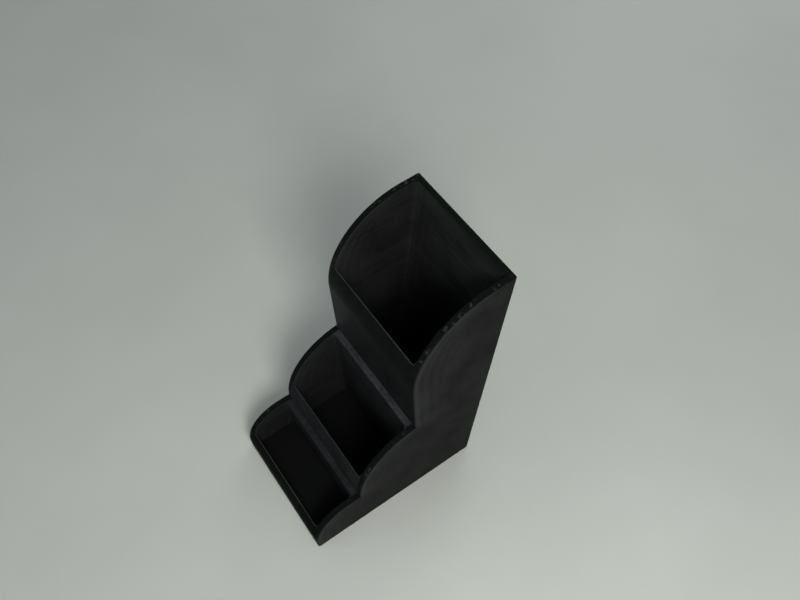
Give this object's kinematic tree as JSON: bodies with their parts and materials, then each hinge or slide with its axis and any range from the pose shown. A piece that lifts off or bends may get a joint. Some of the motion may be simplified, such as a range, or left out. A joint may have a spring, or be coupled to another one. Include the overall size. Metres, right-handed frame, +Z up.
{
  "type": "remote control holder",
  "caption": "Stepped tabletop holder with open pockets one behind the other, rounded front edges, flat ledges and a back wall that leans back.",
  "frame": {"origin": "on the table, under the middle of the whole outline's bounding box", "axes": "+Z up, +X to the right as seen from the front, +Y from the low front pocket towards the tall back wall"},
  "size_m": [0.066, 0.1094, 0.138],
  "materials": {
    "black_plastic": "satin black printed plastic with fine layer lines"
  },
  "bodies": {
    "root": {"holder": "black_plastic"}
  },
  "joints": []
}
